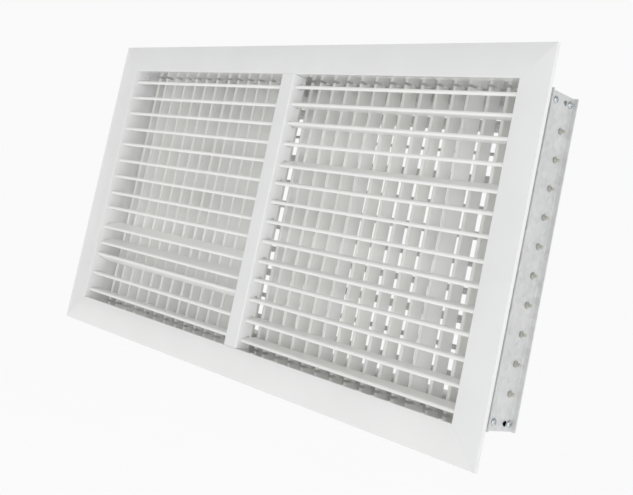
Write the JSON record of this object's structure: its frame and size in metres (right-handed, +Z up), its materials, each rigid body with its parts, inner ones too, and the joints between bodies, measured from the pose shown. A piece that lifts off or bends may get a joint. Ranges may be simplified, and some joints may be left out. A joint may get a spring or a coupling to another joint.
{
  "type": "double-deflection air supply grille",
  "caption": "Rectangular flanged supply air grille with adjustable horizontal louvres before fixed vertical vanes, a centre mullion and an opposed-blade damper behind.",
  "frame": {"origin": "centre of the grille's opening, in the plane of the wall or ceiling that the rim of the flange bears on", "axes": "+Z up and +X to the right along the long side, as hung; the face looks along -Y, towards the room, and +Y runs up the air duct"},
  "size_m": [0.662, 0.0915, 0.362],
  "materials": {
    "powder_coat": "aluminium extrusion with a satin white powder coat",
    "galvanised_sheet": "hot-dip galvanised steel sheet with a fine spangle",
    "zinc_screw": "bright zinc plate with a blue tint",
    "gasket_foam": "matt pale grey closed-cell foam"
  },
  "bodies": {
    "grille": {"frame_top": "powder_coat", "frame_bottom": "powder_coat", "frame_left": "powder_coat", "frame_right": "powder_coat", "centre_mullion": "powder_coat", "rear_vane_bank": "powder_coat", "damper_side_left": "galvanised_sheet", "damper_side_right": "galvanised_sheet", "damper_top": "galvanised_sheet", "damper_bottom": "galvanised_sheet", "screw_left_top_front": "zinc_screw", "screw_left_top_rear": "zinc_screw", "screw_left_bottom_front": "zinc_screw", "screw_left_bottom_rear": "zinc_screw", "screw_right_top_front": "zinc_screw", "screw_right_top_rear": "zinc_screw", "screw_right_bottom_front": "zinc_screw", "screw_right_bottom_rear": "zinc_screw", "foam_gasket": "gasket_foam"},
    "louvre_left_01": {"louvre_left_01": "powder_coat"},
    "louvre_left_02": {"louvre_left_02": "powder_coat"},
    "louvre_left_03": {"louvre_left_03": "powder_coat"},
    "louvre_left_04": {"louvre_left_04": "powder_coat"},
    "louvre_left_05": {"louvre_left_05": "powder_coat"},
    "louvre_left_06": {"louvre_left_06": "powder_coat"},
    "louvre_left_07": {"louvre_left_07": "powder_coat"},
    "louvre_left_08": {"louvre_left_08": "powder_coat"},
    "louvre_left_09": {"louvre_left_09": "powder_coat"},
    "louvre_left_10": {"louvre_left_10": "powder_coat"},
    "louvre_left_11": {"louvre_left_11": "powder_coat"},
    "louvre_left_12": {"louvre_left_12": "powder_coat"},
    "louvre_left_13": {"louvre_left_13": "powder_coat"},
    "louvre_left_14": {"louvre_left_14": "powder_coat"},
    "louvre_right_01": {"louvre_right_01": "powder_coat"},
    "louvre_right_02": {"louvre_right_02": "powder_coat"},
    "louvre_right_03": {"louvre_right_03": "powder_coat"},
    "louvre_right_04": {"louvre_right_04": "powder_coat"},
    "louvre_right_05": {"louvre_right_05": "powder_coat"},
    "louvre_right_06": {"louvre_right_06": "powder_coat"},
    "louvre_right_07": {"louvre_right_07": "powder_coat"},
    "louvre_right_08": {"louvre_right_08": "powder_coat"},
    "louvre_right_09": {"louvre_right_09": "powder_coat"},
    "louvre_right_10": {"louvre_right_10": "powder_coat"},
    "louvre_right_11": {"louvre_right_11": "powder_coat"},
    "louvre_right_12": {"louvre_right_12": "powder_coat"},
    "louvre_right_13": {"louvre_right_13": "powder_coat"},
    "louvre_right_14": {"louvre_right_14": "powder_coat"},
    "damper_blade_01": {"damper_blade_01": "galvanised_sheet"},
    "damper_blade_02": {"damper_blade_02": "galvanised_sheet"},
    "damper_blade_03": {"damper_blade_03": "galvanised_sheet"},
    "damper_blade_04": {"damper_blade_04": "galvanised_sheet"},
    "damper_blade_05": {"damper_blade_05": "galvanised_sheet", "operating_tab": "galvanised_sheet"},
    "damper_blade_06": {"damper_blade_06": "galvanised_sheet"},
    "damper_blade_07": {"damper_blade_07": "galvanised_sheet"},
    "damper_blade_08": {"damper_blade_08": "galvanised_sheet"},
    "damper_blade_09": {"damper_blade_09": "galvanised_sheet"},
    "damper_blade_10": {"damper_blade_10": "galvanised_sheet"},
    "slide_plate": {"slide_plate": "galvanised_sheet"}
  },
  "joints": [
    {"name": "louvre_left_01_tilt", "type": "hinge", "parent": "grille", "child": "louvre_left_01", "pos_m": [-0.1546, 0.0093, 0.1378], "axis": [1, 0, 0], "range_deg": [-110, 70]},
    {"name": "louvre_left_02_tilt", "type": "hinge", "parent": "grille", "child": "louvre_left_02", "pos_m": [-0.1546, 0.0093, 0.1166], "axis": [1, 0, 0], "range_deg": [-105, 75]},
    {"name": "louvre_left_03_tilt", "type": "hinge", "parent": "grille", "child": "louvre_left_03", "pos_m": [-0.1546, 0.0093, 0.0954], "axis": [1, 0, 0], "range_deg": [-102, 78]},
    {"name": "louvre_left_04_tilt", "type": "hinge", "parent": "grille", "child": "louvre_left_04", "pos_m": [-0.1546, 0.0093, 0.0742], "axis": [1, 0, 0], "range_deg": [-98, 82]},
    {"name": "louvre_left_05_tilt", "type": "hinge", "parent": "grille", "child": "louvre_left_05", "pos_m": [-0.1546, 0.0093, 0.053], "axis": [1, 0, 0], "range_deg": [-91, 89]},
    {"name": "louvre_left_06_tilt", "type": "hinge", "parent": "grille", "child": "louvre_left_06", "pos_m": [-0.1546, 0.0093, 0.0318], "axis": [1, 0, 0], "range_deg": [-96, 84]},
    {"name": "louvre_left_07_tilt", "type": "hinge", "parent": "grille", "child": "louvre_left_07", "pos_m": [-0.1546, 0.0093, 0.0106], "axis": [1, 0, 0], "range_deg": [-95, 85]},
    {"name": "louvre_left_08_tilt", "type": "hinge", "parent": "grille", "child": "louvre_left_08", "pos_m": [-0.1546, 0.0093, -0.0106], "axis": [1, 0, 0], "range_deg": [-99, 81]},
    {"name": "louvre_left_09_tilt", "type": "hinge", "parent": "grille", "child": "louvre_left_09", "pos_m": [-0.1546, 0.0093, -0.0318], "axis": [1, 0, 0], "range_deg": [-84, 96]},
    {"name": "louvre_left_10_tilt", "type": "hinge", "parent": "grille", "child": "louvre_left_10", "pos_m": [-0.1546, 0.0093, -0.053], "axis": [1, 0, 0], "range_deg": [-122, 58]},
    {"name": "louvre_left_11_tilt", "type": "hinge", "parent": "grille", "child": "louvre_left_11", "pos_m": [-0.1546, 0.0093, -0.0742], "axis": [1, 0, 0], "range_deg": [-119, 61]},
    {"name": "louvre_left_12_tilt", "type": "hinge", "parent": "grille", "child": "louvre_left_12", "pos_m": [-0.1546, 0.0093, -0.0954], "axis": [1, 0, 0], "range_deg": [-64, 116]},
    {"name": "louvre_left_13_tilt", "type": "hinge", "parent": "grille", "child": "louvre_left_13", "pos_m": [-0.1546, 0.0093, -0.1166], "axis": [1, 0, 0], "range_deg": [-94, 86]},
    {"name": "louvre_left_14_tilt", "type": "hinge", "parent": "grille", "child": "louvre_left_14", "pos_m": [-0.1546, 0.0093, -0.1378], "axis": [1, 0, 0], "range_deg": [-98, 82]},
    {"name": "louvre_right_01_tilt", "type": "hinge", "parent": "grille", "child": "louvre_right_01", "pos_m": [0.1546, 0.0093, 0.1378], "axis": [1, 0, 0], "range_deg": [-105, 75]},
    {"name": "louvre_right_02_tilt", "type": "hinge", "parent": "grille", "child": "louvre_right_02", "pos_m": [0.1546, 0.0093, 0.1166], "axis": [1, 0, 0], "range_deg": [-86, 94]},
    {"name": "louvre_right_03_tilt", "type": "hinge", "parent": "grille", "child": "louvre_right_03", "pos_m": [0.1546, 0.0093, 0.0954], "axis": [1, 0, 0], "range_deg": [-85, 95]},
    {"name": "louvre_right_04_tilt", "type": "hinge", "parent": "grille", "child": "louvre_right_04", "pos_m": [0.1546, 0.0093, 0.0742], "axis": [1, 0, 0], "range_deg": [-97, 83]},
    {"name": "louvre_right_05_tilt", "type": "hinge", "parent": "grille", "child": "louvre_right_05", "pos_m": [0.1546, 0.0093, 0.053], "axis": [1, 0, 0], "range_deg": [-118, 62]},
    {"name": "louvre_right_06_tilt", "type": "hinge", "parent": "grille", "child": "louvre_right_06", "pos_m": [0.1546, 0.0093, 0.0318], "axis": [1, 0, 0], "range_deg": [-103, 77]},
    {"name": "louvre_right_07_tilt", "type": "hinge", "parent": "grille", "child": "louvre_right_07", "pos_m": [0.1546, 0.0093, 0.0106], "axis": [1, 0, 0], "range_deg": [-96, 84]},
    {"name": "louvre_right_08_tilt", "type": "hinge", "parent": "grille", "child": "louvre_right_08", "pos_m": [0.1546, 0.0093, -0.0106], "axis": [1, 0, 0], "range_deg": [-98, 82]},
    {"name": "louvre_right_09_tilt", "type": "hinge", "parent": "grille", "child": "louvre_right_09", "pos_m": [0.1546, 0.0093, -0.0318], "axis": [1, 0, 0], "range_deg": [-102, 78]},
    {"name": "louvre_right_10_tilt", "type": "hinge", "parent": "grille", "child": "louvre_right_10", "pos_m": [0.1546, 0.0093, -0.053], "axis": [1, 0, 0], "range_deg": [-103, 77]},
    {"name": "louvre_right_11_tilt", "type": "hinge", "parent": "grille", "child": "louvre_right_11", "pos_m": [0.1546, 0.0093, -0.0742], "axis": [1, 0, 0], "range_deg": [-95, 85]},
    {"name": "louvre_right_12_tilt", "type": "hinge", "parent": "grille", "child": "louvre_right_12", "pos_m": [0.1546, 0.0093, -0.0954], "axis": [1, 0, 0], "range_deg": [-96, 84]},
    {"name": "louvre_right_13_tilt", "type": "hinge", "parent": "grille", "child": "louvre_right_13", "pos_m": [0.1546, 0.0093, -0.1166], "axis": [1, 0, 0], "range_deg": [-104, 76]},
    {"name": "louvre_right_14_tilt", "type": "hinge", "parent": "grille", "child": "louvre_right_14", "pos_m": [0.1546, 0.0093, -0.1378], "axis": [1, 0, 0], "range_deg": [-107, 73]},
    {"name": "damper_blade_01_turn", "type": "hinge", "parent": "grille", "child": "damper_blade_01", "pos_m": [0, 0.0747, 0.1206], "axis": [-1, 0, 0], "range_deg": [-14, 69]},
    {"name": "damper_blade_02_turn", "type": "hinge", "parent": "grille", "child": "damper_blade_02", "pos_m": [0, 0.0747, 0.0938], "axis": [1, 0, 0], "range_deg": [-14, 69]},
    {"name": "damper_blade_03_turn", "type": "hinge", "parent": "grille", "child": "damper_blade_03", "pos_m": [0, 0.0747, 0.067], "axis": [-1, 0, 0], "range_deg": [-14, 69]},
    {"name": "damper_blade_04_turn", "type": "hinge", "parent": "grille", "child": "damper_blade_04", "pos_m": [0, 0.0747, 0.0402], "axis": [1, 0, 0], "range_deg": [-14, 69]},
    {"name": "damper_blade_05_turn", "type": "hinge", "parent": "grille", "child": "damper_blade_05", "pos_m": [0, 0.0747, 0.0134], "axis": [-1, 0, 0], "range_deg": [-13.5, 68.5]},
    {"name": "damper_blade_06_turn", "type": "hinge", "parent": "grille", "child": "damper_blade_06", "pos_m": [0, 0.0747, -0.0134], "axis": [1, 0, 0], "range_deg": [-14, 69]},
    {"name": "damper_blade_07_turn", "type": "hinge", "parent": "grille", "child": "damper_blade_07", "pos_m": [0, 0.0747, -0.0402], "axis": [-1, 0, 0], "range_deg": [-14, 69]},
    {"name": "damper_blade_08_turn", "type": "hinge", "parent": "grille", "child": "damper_blade_08", "pos_m": [0, 0.0747, -0.067], "axis": [1, 0, 0], "range_deg": [-14, 69]},
    {"name": "damper_blade_09_turn", "type": "hinge", "parent": "grille", "child": "damper_blade_09", "pos_m": [0, 0.0747, -0.0938], "axis": [-1, 0, 0], "range_deg": [-14, 69]},
    {"name": "damper_blade_10_turn", "type": "hinge", "parent": "grille", "child": "damper_blade_10", "pos_m": [0, 0.0747, -0.1206], "axis": [1, 0, 0], "range_deg": [-14, 69]},
    {"name": "slide_plate_rise", "type": "slide", "parent": "grille", "child": "slide_plate", "axis": [0, 0, 1], "range_m": [-0.00195, 0.0096]}
  ],
  "couplings": [
    {"joint": "damper_blade_01_turn", "follows": "damper_blade_05_turn", "ratio": 1},
    {"joint": "damper_blade_02_turn", "follows": "damper_blade_05_turn", "ratio": 1},
    {"joint": "damper_blade_03_turn", "follows": "damper_blade_05_turn", "ratio": 1},
    {"joint": "damper_blade_04_turn", "follows": "damper_blade_05_turn", "ratio": 1},
    {"joint": "damper_blade_06_turn", "follows": "damper_blade_05_turn", "ratio": 1},
    {"joint": "damper_blade_07_turn", "follows": "damper_blade_05_turn", "ratio": 1},
    {"joint": "damper_blade_08_turn", "follows": "damper_blade_05_turn", "ratio": 1},
    {"joint": "damper_blade_09_turn", "follows": "damper_blade_05_turn", "ratio": 1},
    {"joint": "damper_blade_10_turn", "follows": "damper_blade_05_turn", "ratio": 1},
    {"joint": "slide_plate_rise", "follows": "damper_blade_05_turn", "m_per_rad": 0.0079}
  ]
}
